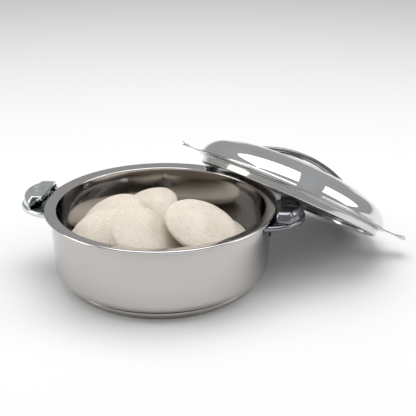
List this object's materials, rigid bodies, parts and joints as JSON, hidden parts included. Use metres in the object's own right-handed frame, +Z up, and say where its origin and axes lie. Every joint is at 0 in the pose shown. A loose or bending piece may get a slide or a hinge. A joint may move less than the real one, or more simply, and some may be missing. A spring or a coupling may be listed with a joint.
{
  "type": "insulated casserole",
  "caption": "Round double-walled steel casserole with lock handles, a domed twist-lock lid leaning on its rim, and soft steamed cakes inside.",
  "frame": {"origin": "centre of the pot's base where it meets the table", "axes": "+Z up out of the pot's mouth; the side handles lie along X, and the handle beside the leaning lid is at +X"},
  "size_m": [0.4198, 0.3267, 0.1373],
  "materials": {
    "bowl_steel": "polished inside, with a bright flat rim ring",
    "shell_steel": "satin",
    "bright_steel": "polished",
    "lid_steel": "mirror polished",
    "pan_steel": "polished",
    "handle_dark": "mirror polished, reads dark",
    "fixing_steel": "plain",
    "foam": "rigid foam",
    "cake": "soft, matt and finely porous"
  },
  "bodies": {
    "pot": {"inner_bowl": "bowl_steel", "outer_shell": "shell_steel", "body_insulation": "foam", "base_cap": "shell_steel", "left_handle": "bright_steel", "right_handle": "bright_steel", "left_lock_pocket": "bright_steel", "right_lock_pocket": "bright_steel", "handle_rivets": "fixing_steel", "left_backing_strip": "fixing_steel", "right_backing_strip": "fixing_steel"},
    "lid_core": {"lid_insulation": "foam"},
    "lid": {"lid_dome": "lid_steel", "lid_pan": "pan_steel", "lid_skirt": "pan_steel", "left_lid_wing": "lid_steel", "right_lid_wing": "lid_steel", "lid_handle": "handle_dark", "lid_handle_washers": "fixing_steel", "lid_handle_screws": "fixing_steel"},
    "lower_cakes": {"cake_low_left": "cake", "cake_low_front": "cake", "cake_low_right": "cake"},
    "upper_cakes": {"cake_left_front": "cake", "cake_middle_front": "cake", "cake_right": "cake", "cake_left_rear": "cake", "cake_middle_rear": "cake", "cake_under_right": "cake"}
  },
  "joints": [
    {"name": "lid_lift", "type": "slide", "parent": "pot", "child": "lid_core", "axis": [0.3425, 0.4082, 0.8462], "range_m": [0, 0.2]},
    {"name": "lid_twist", "type": "hinge", "parent": "lid_core", "child": "lid", "pos_m": [0.13274, 0.09576, 0.06725], "axis": [0.3425, 0.4082, 0.8462], "range_deg": [-20, 0]},
    {"name": "lower_cakes_lift", "type": "slide", "parent": "pot", "child": "lower_cakes", "axis": [0, 0, 1], "range_m": [0, 0.09]},
    {"name": "upper_cakes_lift", "type": "slide", "parent": "lower_cakes", "child": "upper_cakes", "axis": [0, 0, 1], "range_m": [0, 0.09]}
  ]
}
